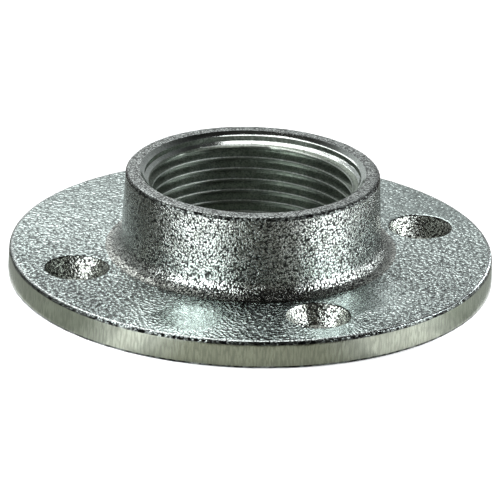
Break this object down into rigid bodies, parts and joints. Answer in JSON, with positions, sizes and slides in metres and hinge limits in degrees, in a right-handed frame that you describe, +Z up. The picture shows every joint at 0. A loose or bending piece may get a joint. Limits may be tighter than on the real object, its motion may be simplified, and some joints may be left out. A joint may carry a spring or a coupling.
{
  "type": "floor flange",
  "caption": "Round cast-iron floor flange: a flat plate with screw holes around a raised boss that has a pipe thread through it.",
  "frame": {"origin": "centre of the plate's underside, on the bore's axis", "axes": "+Z up the bore, out of the boss; a screw hole lies on +X"},
  "size_m": [0.095, 0.095, 0.0214],
  "materials": {
    "galvanised_iron": "galvanised malleable cast iron, pebbled as-cast skin with a bright zinc coat, machined thread"
  },
  "bodies": {
    "root": {"flange": "galvanised_iron"}
  },
  "joints": []
}
